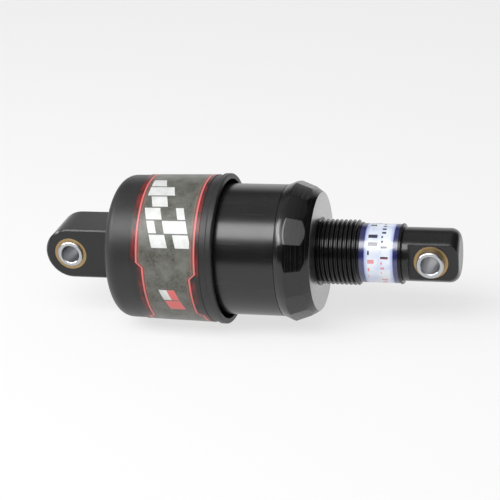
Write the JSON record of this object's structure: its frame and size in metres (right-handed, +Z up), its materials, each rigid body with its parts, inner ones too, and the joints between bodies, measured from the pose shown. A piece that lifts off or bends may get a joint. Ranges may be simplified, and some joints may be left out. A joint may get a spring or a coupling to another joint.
{
  "type": "shock absorber",
  "caption": "Coil-over rear suspension shock absorber with telescoping dust covers, a threaded preload ring and a bushed bolt eye at each end.",
  "frame": {"origin": "centre of the body eye's bolt bore, on the damper's axis", "axes": "+X along the damper's axis from the shaft eye towards the body eye, +Y along both eye bores, +Z up"},
  "size_m": [0.189, 0.068, 0.068],
  "materials": {
    "black_forging": "satin black anodised forging",
    "black_tube": "hard black anodised, threaded",
    "black_ring": "black anodised flanks, bright turned rear face",
    "satin_cover": "satin black moulded plastic",
    "gloss_cover": "gloss black moulded plastic",
    "cover_print": "printed film, olive grey with red border lines and pale blocks",
    "tube_print": "printed film, pale blue with dark blue borders",
    "spring_paint": "black powder coat",
    "steel": "zinc plated steel",
    "shim_steel": "thin spring steel discs",
    "hard_chrome": "ground and chromed rod",
    "bearing_bronze": "lined bronze bearing",
    "turned_aluminium": "turned aluminium",
    "seal_rubber": "black nitrile rubber",
    "bump_rubber": "dark microcellular rubber",
    "band_plastic": "filled fluoropolymer band"
  },
  "bodies": {
    "damper": {"body_eyelet": "black_forging", "body_eyelet_o_ring": "seal_rubber", "body_eye_bushing": "bearing_bronze", "damper_tube": "black_tube", "tube_label": "tube_print", "seal_head": "turned_aluminium", "seal_head_o_ring": "seal_rubber", "rod_seal": "seal_rubber", "rod_wiper": "seal_rubber"},
    "shaft": {"shaft_eyelet": "black_forging", "shaft_eye_bushing": "bearing_bronze", "piston_rod": "hard_chrome", "rod_lock_nut": "steel", "bump_stop": "bump_rubber", "spring_retainer": "steel", "coil_spring": "spring_paint", "outer_cover": "satin_cover", "outer_cover_label": "cover_print", "backing_washer": "steel", "valve_shims": "shim_steel", "piston": "turned_aluminium", "piston_band": "band_plastic", "piston_nut": "steel"},
    "perch": {"inner_cover": "gloss_cover", "thrust_washer": "steel"},
    "preload_ring": {"preload_nut": "black_ring"},
    "body_pivot": {"body_eye_sleeve": "steel"},
    "shaft_pivot": {"shaft_eye_sleeve": "steel"}
  },
  "joints": [
    {"name": "compression", "type": "slide", "parent": "damper", "child": "shaft", "axis": [1, 0, 0], "range_m": [0, 0.025], "stiffness_N_per_m": 74600, "springref_m": -0.006, "deforming": ["coil_spring"]},
    {"name": "preload_travel", "type": "slide", "parent": "damper", "child": "perch", "axis": [1, 0, 0], "range_m": [-0.003, 0.005], "deforming": ["coil_spring"]},
    {"name": "preload_turn", "type": "hinge", "parent": "perch", "child": "preload_ring", "pos_m": [-0.0575, 0, 0], "axis": [1, 0, 0], "range_deg": [-540, 900]},
    {"name": "body_eye_turn", "type": "hinge", "parent": "damper", "child": "body_pivot", "pos_m": [0, 0, 0], "axis": [0, 1, 0], "continuous": true},
    {"name": "shaft_eye_turn", "type": "hinge", "parent": "shaft", "child": "shaft_pivot", "pos_m": [-0.165, 0, 0], "axis": [0, 1, 0], "continuous": true}
  ],
  "couplings": [
    {"joint": "preload_travel", "follows": "preload_turn", "m_per_rad": 0.0003183}
  ]
}
